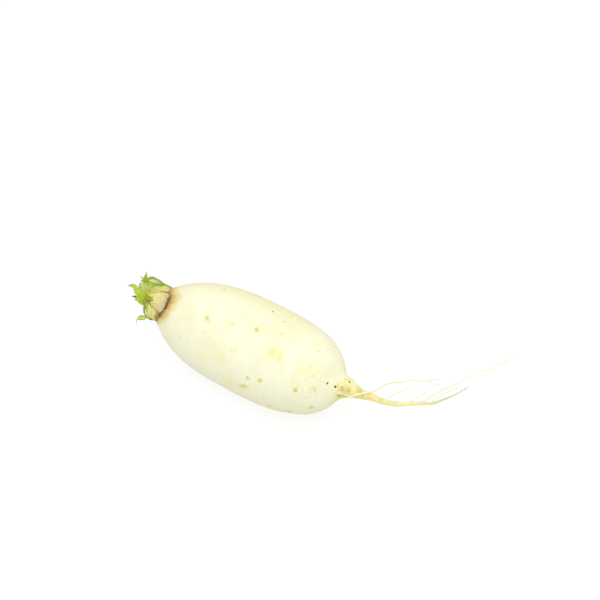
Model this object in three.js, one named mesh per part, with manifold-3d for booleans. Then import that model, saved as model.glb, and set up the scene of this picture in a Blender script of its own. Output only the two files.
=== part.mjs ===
// A small white turnip, pulled and trimmed, lying on its side. It is made of the swollen root with its taproot,
// the short stem at its crown, the cut stubs of the outer leaf stalks, the young leaves in the heart, and fine
// side roots. Millimetres, +Z up. +X runs from the crown to the tail. The origin is on the surface that the
// turnip lies on, in the flat patch under its belly.
import * as THREE from 'three';
import { mergeVertices } from 'three/addons/utils/BufferGeometryUtils.js';
import Module from 'manifold-3d';

const wasm = await Module();
wasm.setup();

// ---- Driving dimensions
const BELLY_RADIUS = 32.5; // the root at its thickest
const REST_DEPTH = 0.4; // how far the belly is pressed flat where it lies
const AXIS_HEIGHT = BELLY_RADIUS - REST_DEPTH;
const CROWN_X = -68.8; // middle of the root's top face, where the stem sits
const GAP = 0.3; // between neighbouring pieces
const UP = new THREE.Vector3(0, 0, 1);
// The side of the root that faces up and forward as it lies. The neck leans this way.
const BRIGHT_SIDE = new THREE.Vector3(0, -0.58, 0.815).normalize();

const SKIN = { color: 0xfbf8dc, roughness: 0.45, metalness: 0 };
const STEM = { color: 0xe6dda6, roughness: 0.6, metalness: 0 };
const STALK = { color: 0xdfe0a0, roughness: 0.55, metalness: 0 };
const LEAF = { color: 0xa9c832, roughness: 0.5, metalness: 0 };
const FIBRE = { color: 0xf1edbe, roughness: 0.6, metalness: 0 };

const turnip = new THREE.Group();

function addPiece(name, geometry, finish) {
  const piece = new THREE.Mesh(geometry, new THREE.MeshStandardMaterial(finish));
  piece.name = name;
  turnip.add(piece);
}

// ---- Growing shapes along a route

function routeThrough(points) {
  const vectors = points.map((point) => (point.isVector3 ? point : new THREE.Vector3(...point)));
  return new THREE.CatmullRomCurve3(vectors, false, 'centripetal');
}

// Turns an outline of [distance along, radius] pairs and bends it along the route. A section that is wider than
// flatTo each side of the route is pressed flat across the facing direction, as a leaf blade is.
function grow(route, outline, sides, facing = UP, flatTo = Infinity) {
  const length = outline.at(-1)[0];
  const profile = outline.map(([along, radius]) => new THREE.Vector2(radius, along));
  const geometry = new THREE.LatheGeometry(profile, sides);
  const position = geometry.getAttribute('position');
  for (let i = 0; i < position.count; i += 1) {
    const share = THREE.MathUtils.clamp(position.getY(i) / length, 0, 1);
    const point = route.getPointAt(share);
    const ahead = route.getTangentAt(share);
    const side = ahead.clone().cross(facing).normalize();
    const out = side.clone().cross(ahead);
    point.addScaledVector(side, position.getX(i));
    point.addScaledVector(out, THREE.MathUtils.clamp(position.getZ(i), -flatTo, flatTo));
    position.setXYZ(i, point.x, point.y, point.z);
  }
  return geometry;
}

// Rings of a smooth outline through [distance, radius] points, closed to the axis at both ends.
function smoothOutline(points, rings) {
  const curve = new THREE.SplineCurve(points.map(([along, radius]) => new THREE.Vector2(along, radius)));
  const body = curve.getPoints(rings).map((point) => [point.x, point.y]);
  return [[body[0][0], 0], ...body, [body.at(-1)[0], 0]];
}

// The same outline made thicker all over, for the clearance round a piece.
const swollen = (outline, extra) => outline.map(([along, radius]) => [along, radius && radius + extra]);

// ---- Joining and cutting closed shapes

function solidFrom(geometry) {
  const bare = geometry.clone();
  bare.deleteAttribute('normal');
  bare.deleteAttribute('uv');
  const merged = mergeVertices(bare, 1e-4);
  const vertProperties = new Float32Array(merged.getAttribute('position').array);
  const triVerts = new Uint32Array(merged.getIndex().array);
  return new wasm.Manifold(new wasm.Mesh({ numProp: 3, vertProperties, triVerts }));
}

function geometryFrom(solid) {
  const mesh = solid.getMesh();
  const geometry = new THREE.BufferGeometry();
  geometry.setAttribute('position', new THREE.BufferAttribute(mesh.vertProperties, 3));
  geometry.setIndex(new THREE.BufferAttribute(mesh.triVerts, 1));
  geometry.computeVertexNormals();
  return geometry;
}

// ---- The root: a blunt body that narrows quickly into a thin, bending taproot

const ROOT_SIDES = 36;
const ROOT_RINGS = 60;
const TIP_RADIUS = 0.35;

// A point on the root's long axis, moved towards its bright side by the neck's lean and down by its droop.
function neckPoint(x, lean, droop) {
  return new THREE.Vector3(x, -droop, AXIS_HEIGHT - 0.7 * droop).addScaledVector(BRIGHT_SIDE, lean);
}

const rootRoute = routeThrough([
  neckPoint(CROWN_X, 3.6, 0.5),
  neckPoint(-62.5, 1.4, 0.5),
  neckPoint(-56, 0.3, 0.5),
  neckPoint(-48, 0, 0.5),
  [-20, 0, AXIS_HEIGHT],
  [20, 0, AXIS_HEIGHT],
  [45, 0.8, 32.6],
  [57, 1.6, 33.2],
  [64, 2.4, 33.6],
  [69, 3.7, 32.8],
  [73.2, 5.3, 30.7],
  [77.7, 7.6, 27.9],
  [82.5, 10.9, 24.8],
  [89, 15, 20],
  [96, 21.5, 15],
  [102, 29.5, 10.6],
  [107.5, 35.5, 7.6],
  [112.5, 41, 5.2],
  [115.5, 47, 3.7],
  [118.5, 53, 2.5],
  [121.5, 60, 1.5],
  [124, 67, 0.8],
]);
const rootOutline = smoothOutline(
  [
    [0, 9.6],
    [1.2, 12],
    [3, 14.8],
    [6, 17.6],
    [12, 21.5],
    [20, 25.2],
    [30, 28.5],
    [43, 30.9],
    [57, 32.1],
    [71, BELLY_RADIUS],
    [84, 32.2],
    [97, 31],
    [109.5, 28.3],
    [119.5, 24.4],
    [127.3, 18.2],
    [132.2, 11.8],
    [135.6, 8],
    [138.6, 6.4],
    [142.8, 4.7],
    [151, 2.9],
    [161, 2.1],
    [173, 1.8],
    [188, 1.4],
    [202, 0.9],
    [216, 0.55],
    [rootRoute.getLength(), TIP_RADIUS],
  ],
  ROOT_RINGS,
);
const surface = solidFrom(new THREE.BoxGeometry(500, 500, 100).translate(0, 0, -50));
const rootSolid = solidFrom(grow(rootRoute, rootOutline, ROOT_SIDES)).subtract(surface);
addPiece('swollen_root', geometryFrom(rootSolid), SKIN);

const rootClearance = solidFrom(grow(rootRoute, swollen(rootOutline, GAP), ROOT_SIDES));

// ---- The crown. Heights are from the root's top face, out along the neck's leaning axis. Angles go round that
// axis, from the bright side (0 degrees) towards the underside.

const crownCentre = rootRoute.getPointAt(0);
const crownAxis = rootRoute.getTangentAt(0).negate();
const towardsBright = BRIGHT_SIDE.clone().projectOnPlane(crownAxis).normalize();
const towardsUnder = towardsBright.clone().cross(crownAxis);

function crownPoint(height, under, bright) {
  const point = crownCentre.clone().addScaledVector(crownAxis, height);
  return point.addScaledVector(towardsUnder, under).addScaledVector(towardsBright, bright);
}

const STEM_SIDES = 28;
const STEM_FOOT = 0.35; // height of its lower face, just clear of the root
const stemProfile = [
  [0, 0],
  [0, 8],
  [3.7, 7.7],
  [6.7, 6.9],
  [8.7, 5],
  [9.7, 2.6],
  [9.9, 0],
];

function stemShape(extra = 0) {
  const outline = swollen(stemProfile, extra);
  const foot = STEM_FOOT - extra;
  const top = STEM_FOOT + outline.at(-1)[0] + extra;
  return grow(new THREE.LineCurve3(crownPoint(foot, 0, 0), crownPoint(top, 0, 0)), outline, STEM_SIDES);
}

addPiece('crown_stem', stemShape(), STEM);

// The room that the pieces placed so far take up. Each later piece is cut clear of it.
let taken = solidFrom(stemShape(GAP)).add(rootClearance);

// ---- Cut stalks: fleshy, crescent-shaped stubs of the outer leaves, side by side round the stem. Each is cut
// across at its top, on a slope, and its outer face goes from its base radius to its lip radius.

const STUB_FOOT = 0.35; // height of its lower face, just clear of the root
const STUB_INNER = 5; // its inner face starts inside the stem and is cut to lie against it
const STUB_ROUNDING = 1.2; // how far its side edges fall back from its outer face
// foot and cut hold the angles where it starts and ends there, top the height of its cut, fall and slant how far
// the cut falls towards its end and outwards, and radii its outer radius at foot and cut.
const stubs = [
  { foot: [-57, 41], cut: [-12, 20], top: 12, fall: 2.1, slant: 0.7, radii: [11.2, 10.4] },
  { foot: [43, 106], cut: [24, 102], top: 10.4, fall: 1.1, slant: 1.3, radii: [12.2, 12.6] },
  { foot: [108, 176], cut: [106, 172], top: 9.2, fall: -0.7, slant: 0.8, radii: [11, 10.8] },
  { foot: [178, 246], cut: [176, 240], top: 8, fall: 0.6, slant: 0.8, radii: [10.8, 10.4] },
  { foot: [248, 301], cut: [244, 345], top: 11.6, fall: -0.4, slant: 1.2, radii: [11.4, 10.4] },
];

// A box bent round the stem: its x runs round the stem, its y outwards and its z up to the cut. The extra makes it
// bigger on every side, for the clearance round it.
function stubShape({ foot, cut, top, fall, slant, radii }, extra = 0) {
  const geometry = new THREE.BoxGeometry(1, 1, 1, 8, 2, 5);
  const position = geometry.getAttribute('position');
  const { lerp, degToRad } = THREE.MathUtils;
  for (let i = 0; i < position.count; i += 1) {
    const round = position.getX(i) * 2;
    const outward = position.getY(i) * 2;
    const rise = position.getZ(i) + 0.5;
    const height = lerp(STUB_FOOT - extra, top - fall * round - slant * outward + extra, rise);
    const face = lerp(...radii, rise) - STUB_ROUNDING * round * round + extra;
    const distance = lerp(STUB_INNER - extra, face, (outward + 1) / 2);
    const start = lerp(foot[0], cut[0], rise);
    const end = lerp(foot[1], cut[1], rise);
    const turned = degToRad(lerp(start, end, (round + 1) / 2)) + (extra / radii[0]) * round;
    const place = crownPoint(height, distance * Math.sin(turned), distance * Math.cos(turned));
    position.setXYZ(i, place.x, place.y, place.z);
  }
  return geometry;
}

stubs.forEach((stub, index) => {
  const stalk = solidFrom(stubShape(stub)).subtract(taken);
  addPiece(`cut_stalk_${index + 1}`, geometryFrom(stalk), STALK);
  taken = taken.add(solidFrom(stubShape(stub, GAP)));
});

// ---- Heart leaves: thin stalks that widen into small blades. A place is [height, distance towards the
// underside, distance towards the bright side] and a width is [distance along, half width].

const BLADE_THICKNESS = 0.45; // each side of the blade's middle
const LEAF_SIDES = 8;
const LEAF_RINGS = 14;
const TOWARDS_TOP = new THREE.Vector3(0.2, -0.5, 0.8).normalize();

const leaves = {
  broad_leaf: {
    places: [[10.4, 2.2, 2.6], [13.4, 3, 5], [15.6, 2.6, 6.9], [17.8, 0.9, 7.9], [20.8, -0.7, 7.8], [26.6, -1, 5.4]],
    widths: [[0, 1.4], [4, 3.2], [7, 3.9], [10, 2.8], [14, 2.1], [20, 0.4]],
  },
  arched_leaf: {
    places: [[-2, -12.2, -0.5], [2.5, -12.4, 0.6], [7, -12.2, 2], [10, -11.8, 3], [15, -10.9, 3.4], [18.5, -8.6, 2.6]],
    widths: [[0, 0.7], [4.5, 0.9], [9, 1.3], [12.5, 2.2], [17.5, 2.2], [21, 0.4]],
  },
  tufted_leaf: {
    places: [[10.5, -2, -0.6], [13.4, -3, -0.4], [15.4, -5.6, 0.2], [18.4, -9, 1.4], [20.9, -14.6, 1]],
    widths: [[0, 0.7], [4, 0.8], [9, 1.4], [13, 1], [17, 0.3]],
  },
  pale_leaf: {
    places: [[11.8, -2.4, 2], [14.4, -3.6, 3.8], [16.4, -4.6, 5.2], [18.8, -4.9, 5.6], [21.2, -6.4, 4.6]],
    widths: [[0, 0.9], [3, 2.2], [6, 3.2], [9, 2.6], [12, 0.4]],
  },
  curled_leaf: {
    places: [[-2.4, 12, -1], [1.5, 13.4, -0.6], [4.4, 14.2, 0.6], [6.8, 14.4, 1.4], [9.3, 14.8, 1.8], [12.8, 16.4, 1.6]],
    widths: [[0, 0.7], [6, 0.8], [9, 1], [12, 1.6], [14, 1.5], [17, 0.3]],
  },
  drooping_leaf: {
    places: [[10.6, 3.8, 1.4], [12.6, 5, 3.4], [12.8, 7.4, 4.6], [12, 10, 4.8], [10.4, 12.4, 5], [8, 13.8, 5]],
    widths: [[0, 0.7], [4, 0.75], [10, 0.7], [13, 0.4]],
  },
  back_leaf_1: {
    places: [[10.4, 2.6, -1.6], [13, 4, -0.6], [16, 4.4, 1.2], [19, 4.2, 2.4], [21.2, 5.2, 2.8]],
    widths: [[0, 0.7], [3, 1.1], [7, 1.4], [9, 1], [12, 0.3]],
  },
  back_leaf_2: {
    places: [[10, -0.8, -3.4], [12, -1.4, -5.4], [16, -2.6, -8], [19, -4.6, -10]],
    widths: [[0, 0.7], [3, 1.3], [7, 2.2], [11, 0.3]],
  },
  back_leaf_3: {
    places: [[10.2, 1.8, -3.6], [11.4, 2.6, -4.6], [13, 4, -6.4], [14.6, 5.6, -8.4], [15.6, 7.2, -9.8]],
    widths: [[0, 0.7], [3, 1.3], [6, 1.9], [9, 0.3]],
  },
};

Object.entries(leaves).forEach(([name, { places, widths }]) => {
  const route = routeThrough(places.map((place) => crownPoint(...place)));
  const stretch = route.getLength() / widths.at(-1)[0];
  const outline = smoothOutline(widths.map(([along, half]) => [along * stretch, half]), LEAF_RINGS);
  const blade = grow(route, outline, LEAF_SIDES, TOWARDS_TOP, BLADE_THICKNESS);
  addPiece(name, geometryFrom(solidFrom(blade).subtract(taken)), LEAF);
});

// ---- Side roots: fine fibres that leave the taproot and trail beside it. Each starts inside the taproot and
// is cut off at its skin.

const FIBRE_SIDES = 7;
const FIBRE_RINGS = 16;

function fibre(points, thick, thin) {
  const route = routeThrough(points);
  const length = route.getLength();
  const taper = [[0, thick], [length * 0.4, (thick + thin) / 2], [length, thin]];
  return solidFrom(grow(route, smoothOutline(taper, FIBRE_RINGS), FIBRE_SIDES)).subtract(rootClearance);
}

const forkPoint = [99.8, 51.1, 8.6];
const longFibre = fibre(
  [
    [74, 5.4, 29.8],
    [76.4, 2.6, 34.4],
    [79, 4.6, 34],
    [81, 8.8, 31.6],
    [82.6, 14, 28.6],
    [85.7, 25.2, 25],
    [91, 34.6, 20],
    [94.8, 43.7, 14.5],
    forkPoint,
    [104.8, 62.2, 2.2],
  ],
  0.85,
  0.35,
);
const forkFibre = fibre([forkPoint, [103, 53.4, 6.4], [108.7, 56.5, 3.5]], 0.45, 0.3);
addPiece('side_root_1', geometryFrom(longFibre.add(forkFibre)), FIBRE);

const fibres = {
  side_root_2: {
    thick: 0.5,
    thin: 0.3,
    points: [[88.4, 15.6, 19.6], [90.6, 22, 20], [93.1, 31, 15.8], [97.4, 48.6, 7]],
  },
  side_root_3: {
    thick: 0.7,
    thin: 0.35,
    points: [
      [104.6, 32.4, 9.2],
      [107.8, 38, 9],
      [113.2, 50.9, 9],
      [119, 61.5, 8],
      [121, 68.6, 7],
      [124.4, 76.9, 5.5],
      [129.6, 85.7, 3.6],
      [133.3, 93.8, 2],
      [139, 105.7, 0.8],
    ],
  },
  side_root_4: {
    thick: 0.6,
    thin: 0.4,
    points: [[75, 4, 30.4], [75, -2.4, 35.6], [73, -5, 37.4], [69.6, -6, 39.6], [67, -7.4, 40]],
  },
  side_root_5: {
    thick: 0.45,
    thin: 0.3,
    points: [[99.6, 26.4, 12.2], [101.4, 34, 9.4], [102, 40.2, 6.4], [105.7, 52.9, 3]],
  },
  side_root_6: {
    thick: 0.45,
    thin: 0.3,
    points: [[111, 39.4, 5.8], [112, 45, 4.6], [114, 51.5, 3.6], [119, 62, 2.6]],
  },
};

Object.entries(fibres).forEach(([name, { points, thick, thin }]) => {
  addPiece(name, geometryFrom(fibre(points, thick, thin)), FIBRE);
});

export default turnip;
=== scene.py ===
import math

import bmesh
import bpy
from mathutils import Matrix, Vector, geometry, kdtree, noise


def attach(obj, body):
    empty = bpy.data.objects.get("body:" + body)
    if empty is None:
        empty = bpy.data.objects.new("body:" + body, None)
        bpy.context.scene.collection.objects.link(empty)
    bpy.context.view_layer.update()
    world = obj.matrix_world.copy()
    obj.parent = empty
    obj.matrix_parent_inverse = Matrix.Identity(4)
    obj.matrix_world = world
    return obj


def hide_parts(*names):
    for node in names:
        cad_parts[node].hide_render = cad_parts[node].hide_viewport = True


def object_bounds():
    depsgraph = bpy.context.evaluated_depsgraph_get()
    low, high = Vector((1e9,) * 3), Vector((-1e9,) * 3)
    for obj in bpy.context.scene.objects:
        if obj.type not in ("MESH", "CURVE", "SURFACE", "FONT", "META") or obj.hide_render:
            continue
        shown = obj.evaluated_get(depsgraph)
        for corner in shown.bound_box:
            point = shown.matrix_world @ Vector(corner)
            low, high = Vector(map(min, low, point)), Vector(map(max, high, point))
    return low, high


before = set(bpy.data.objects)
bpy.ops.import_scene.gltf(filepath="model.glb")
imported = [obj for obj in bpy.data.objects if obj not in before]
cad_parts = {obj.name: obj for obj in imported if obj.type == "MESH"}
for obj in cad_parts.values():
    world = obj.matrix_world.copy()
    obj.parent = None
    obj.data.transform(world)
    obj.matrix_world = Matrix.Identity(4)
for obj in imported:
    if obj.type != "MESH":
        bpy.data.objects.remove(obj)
cad_low, cad_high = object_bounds()

# ---- Viewpoint and studio
# A white table under a large soft lamp, which hangs above the turnip and a little to its front right, with
# even white light all round. The camera looks down on the turnip from the front right, past its tail.
MM = 0.001
VIEW_AZIMUTH = math.radians(32)
VIEW_ELEVATION = math.radians(50)
VIEW_DISTANCE = 0.92
LENS_LENGTH = 85
middle = (Vector(cad_low) + Vector(cad_high)) / 2
# The camera aims above the turnip's middle, a little towards the crown.
aim = middle + Vector((-10.8, -1.2, 20.2)) * MM
away = Vector((
    math.sin(VIEW_AZIMUTH) * math.cos(VIEW_ELEVATION),
    -math.cos(VIEW_AZIMUTH) * math.cos(VIEW_ELEVATION),
    math.sin(VIEW_ELEVATION),
))

lens = bpy.data.cameras.new("camera")
lens.lens = LENS_LENGTH
lens.clip_start = 0.01
camera = bpy.data.objects.new("camera", lens)
camera.location = aim + away * VIEW_DISTANCE
camera.rotation_euler = (-away).to_track_quat("-Z", "Y").to_euler()
bpy.context.collection.objects.link(camera)
bpy.context.scene.camera = camera
bpy.context.scene.view_settings.view_transform = "Standard"

LAMP_PLACE = Vector((0.16, -0.22, 1.28))
LAMP_WIDTH = 0.7
LAMP_WATTS = 5.0
bulb = bpy.data.lights.new("key_lamp", "AREA")
bulb.shape = "DISK"
bulb.size = LAMP_WIDTH
bulb.energy = LAMP_WATTS
lamp = bpy.data.objects.new("key_lamp", bulb)
lamp.location = LAMP_PLACE
lamp.rotation_euler = (middle - LAMP_PLACE).to_track_quat("-Z", "Y").to_euler()
bpy.context.collection.objects.link(lamp)


def linear(code):
    """The linear colour of an sRGB hex code."""
    shades = [int(code[i:i + 2], 16) / 255 for i in (0, 2, 4)]
    return (*[s / 12.92 if s <= 0.04045 else ((s + 0.055) / 1.055) ** 2.4 for s in shades], 1)


def add(tree, kind, inputs=None, stops=(), **settings):
    """Adds a node. An input is a value, a hex colour, or an output or node to link; stops colour a ramp."""
    node = tree.nodes.new(kind)
    for name, value in settings.items():
        setattr(node, name, value)
    for socket, value in (inputs or {}).items():
        if isinstance(value, bpy.types.Node):
            value = next(output for output in value.outputs if output.enabled)
        if isinstance(value, bpy.types.NodeSocket):
            tree.links.new(value, node.inputs[socket])
        else:
            node.inputs[socket].default_value = linear(value) if isinstance(value, str) else value
    for index, (position, code) in enumerate(stops):
        if index > 1:
            node.color_ramp.elements.new(position)
        node.color_ramp.elements[index].position = position
        node.color_ramp.elements[index].color = linear(code)
    return node


def bare_material(name):
    """A new material with no nodes, and its node tree."""
    material = bpy.data.materials.new(name)
    material.use_nodes = True
    material.node_tree.nodes.clear()
    return material, material.node_tree


# White surroundings, at full strength in the background and in reflections, that light the turnip less.
AMBIENT = 0.83
world = bpy.data.worlds.new("white_studio")
world.use_nodes = True
tree = world.node_tree
tree.nodes.clear()
rays = add(tree, "ShaderNodeLightPath")
seen = add(tree, "ShaderNodeMath", {0: rays.outputs["Is Camera Ray"], 1: rays.outputs["Is Glossy Ray"]},
           operation="MAXIMUM")
seen = add(tree, "ShaderNodeMath", {0: seen, 1: rays.outputs["Is Transmission Ray"]}, operation="MAXIMUM")
strength = add(tree, "ShaderNodeMapRange", {0: seen, 3: AMBIENT, 4: 1.0})
sky = add(tree, "ShaderNodeBackground", {0: (1, 1, 1, 1), 1: strength})
add(tree, "ShaderNodeOutputWorld", {0: sky})
bpy.context.scene.world = world

# Matt white table: mostly its own white to the eye, so that the turnip's shadow on it stays pale.
OWN_WHITE = 0.72
OWN_STRENGTH = 1.16
TABLE_RADIUS = 4
material, tree = bare_material("matt white table")
rays = add(tree, "ShaderNodeLightPath")
seen = add(tree, "ShaderNodeMath", {0: rays.outputs["Is Camera Ray"], 1: OWN_WHITE}, operation="MULTIPLY")
lit = add(tree, "ShaderNodeBsdfDiffuse", {0: "E0E0DC"})
white = add(tree, "ShaderNodeEmission", {0: (1, 1, 1, 1), 1: OWN_STRENGTH})
top = add(tree, "ShaderNodeMixShader", {0: seen, 1: lit, 2: white})
add(tree, "ShaderNodeOutputMaterial", {0: top})
bm = bmesh.new()
bmesh.ops.create_circle(bm, cap_ends=True, radius=TABLE_RADIUS, segments=64)
mesh = bpy.data.meshes.new("table")
bm.to_mesh(mesh)
bm.free()
mesh.materials.append(material)
table = bpy.data.objects.new("table", mesh)
bpy.context.collection.objects.link(table)

# ---- Swollen root with its taproot
# White watery flesh under a thin, smooth skin, grown as one piece: a blunt body that narrows within 30 mm
# into a taproot, which bends down to the table. The neck leans a little to the side that lies uppermost.
# Sizes from here on are in millimetres.
BELLY_RADIUS = 32.5
AXIS_HEIGHT = BELLY_RADIUS - 0.4  # the belly is pressed flat by 0.4 mm where it lies
bright_side = Vector((0, -0.58, 0.815)).normalized()
# The neck: its place along X, how far it leans to the bright side, and how far it droops.
neck = [(-68.8, 3.6, 0.5), (-62.5, 1.4, 0.5), (-56, 0.3, 0.5), (-48, 0, 0.5)]
# The middle of the root, from its top face to its tip.
root_places = [
    *[Vector((x, -droop, AXIS_HEIGHT - 0.7 * droop)) + bright_side * lean for x, lean, droop in neck],
    (-20, 0, AXIS_HEIGHT),
    (20, 0, AXIS_HEIGHT),
    (45, 0.8, 32.6),
    (57, 1.6, 33.2),
    (64, 2.4, 33.6),
    (69, 3.7, 32.8),
    (73.2, 5.3, 30.7),
    (77.7, 7.6, 27.9),
    (82.5, 10.9, 24.8),
    (89, 15, 20),
    (96, 21.5, 15),
    (102, 29.5, 10.6),
    (107.5, 35.5, 7.6),
    (112.5, 41, 5.2),
    (115.5, 47, 3.7),
    (118.5, 53, 2.5),
    (121.5, 60, 1.5),
    (124, 67, 0.8),
]
# Distance from the top face, and radius there.
root_outline = [
    (0, 9.6),
    (1.2, 12),
    (3, 14.8),
    (6, 17.6),
    (12, 21.5),
    (20, 25.2),
    (30, 28.5),
    (43, 30.9),
    (57, 32.1),
    (71, BELLY_RADIUS),
    (84, 32.2),
    (97, 31),
    (109.5, 28.3),
    (119.5, 24.4),
    (127.3, 18.2),
    (132.2, 11.8),
    (135.6, 8.0),
    (138.6, 6.4),
    (142.8, 4.7),
    (151, 2.9),
    (161, 2.1),
    (173, 1.8),
    (188, 1.4),
    (202, 0.9),
    (216, 0.55),
    (232.6, 0.35),
]


def smooth_line(points, steps=12):
    """Closely spaced points on a smooth curve through the given ones."""
    knots = [Vector(point) for point in points]
    ends = [knots[0] * 2 - knots[1], *knots, knots[-1] * 2 - knots[-2]]
    line = []
    for before, start, end, after in zip(ends, ends[1:], ends[2:], ends[3:]):
        reach = (end - start).length / 3
        leave = start + (end - before).normalized() * reach
        arrive = end - (after - start).normalized() * reach
        line += geometry.interpolate_bezier(start, leave, arrive, end, steps + 1)[:-1]
    return [*line, knots[-1]]


class Route:
    """A smooth line through places, which gives a frame at any distance along it."""

    def __init__(self, places, facing):
        self.line = smooth_line(places)
        self.facing = Vector(facing)
        self.reach = [0.0]
        for start, end in zip(self.line, self.line[1:]):
            self.reach.append(self.reach[-1] + (end - start).length)
        self.length = self.reach[-1]

    def at(self, along):
        """A matrix whose x is sideways, whose y is the way the line faces, and whose z is ahead."""
        i = next((i for i, reach in enumerate(self.reach[1:-1]) if reach > along), len(self.line) - 2)
        here, there = self.line[i], self.line[i + 1]
        place = here.lerp(there, (along - self.reach[i]) / (self.reach[i + 1] - self.reach[i]))
        back, groove_front_share = self.line[max(i - 1, 0)], self.line[min(i + 2, len(self.line) - 1)]
        ahead = (groove_front_share - back).normalized()
        side = ahead.cross(self.facing).normalized()
        turn = Matrix((side, side.cross(ahead), ahead)).transposed().to_4x4()
        return Matrix.Translation(place) @ turn


class Outline:
    """A smooth run of a size through (distance, size) pairs."""

    def __init__(self, pairs):
        self.line = smooth_line([(along, size, 0) for along, size in pairs])

    def at(self, along):
        for here, there in zip(self.line, self.line[1:]):
            if along <= there.x:
                share = max((along - here.x) / (there.x - here.x), 0)
                return here.y + (there.y - here.y) * share
        return self.line[-1].y


def even_rows(start, end, step):
    """Distances from start to end, about step apart."""
    count = round((end - start) / step)
    return [start + (end - start) * i / count for i in range(count + 1)]


def ripple(place, size):
    """Smooth random heights between -1 and 1, in lumps of about that size."""
    return noise.noise(Vector(place) / size)


def fade(value, start, end):
    """Goes smoothly from 0 at start to 1 at end."""
    share = min(max((value - start) / (end - start), 0), 1)
    return share * share * (3 - 2 * share)


def hump(value, middle, width):
    """1 at the middle, and next to nothing two widths away."""
    return math.exp(-((value - middle) / width) ** 2)


def grow(bm, route, rows, sides, section):
    """Rolls a grid of quads into a tube along the route, with its ends drawn to a point.

    rows are distances along it, and section(along, turn) gives how far the surface is to the side and out
    there. The layer "grain" keeps each point's direction sideways and outwards, and its distance along.
    """
    grain = bm.verts.layers.float_vector.get("grain") or bm.verts.layers.float_vector.new("grain")
    made = bmesh.ops.create_grid(bm, x_segments=sides, y_segments=len(rows) + 1, size=0.5)["verts"]
    rows = [rows[0], *rows, rows[-1]]
    frames = [route.at(along) for along in rows]
    for vert in made:
        turn = (vert.co.x + 0.5) * math.tau
        row = round((vert.co.y + 0.5) * (len(rows) - 1))
        along = rows[row]
        side, out = section(along, turn)
        if row in (0, len(rows) - 1):
            side, out = 0, 0
        vert[grain] = (math.sin(turn), math.cos(turn), along)
        vert.co = frames[row] @ Vector((side, out, 0))
    bmesh.ops.remove_doubles(bm, verts=made, dist=0.003)
    bmesh.ops.recalc_face_normals(bm, faces=bm.faces)
    bm.normal_update()
    return grain


def make_piece(name, bm, material):
    """Turns a mesh built in millimetres into an object in metres, at the origin."""
    bmesh.ops.scale(bm, vec=(MM, MM, MM), verts=bm.verts)
    mesh = bpy.data.meshes.new(name)
    bm.to_mesh(mesh)
    bm.free()
    mesh.materials.append(material)
    mesh.shade_smooth()
    piece = bpy.data.objects.new(name, mesh)
    bpy.context.collection.objects.link(piece)
    return piece


root_route = Route(root_places, bright_side)
root_radius = Outline(root_outline)
ROOT_SIDES = 160
BODY_END = 140  # where the taproot starts
BODY_STEP = 0.8
TAPROOT_STEP = 0.9


def root_section(along, turn):
    radius = root_radius.at(along)
    return radius * math.sin(turn), radius * math.cos(turn)


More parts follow.
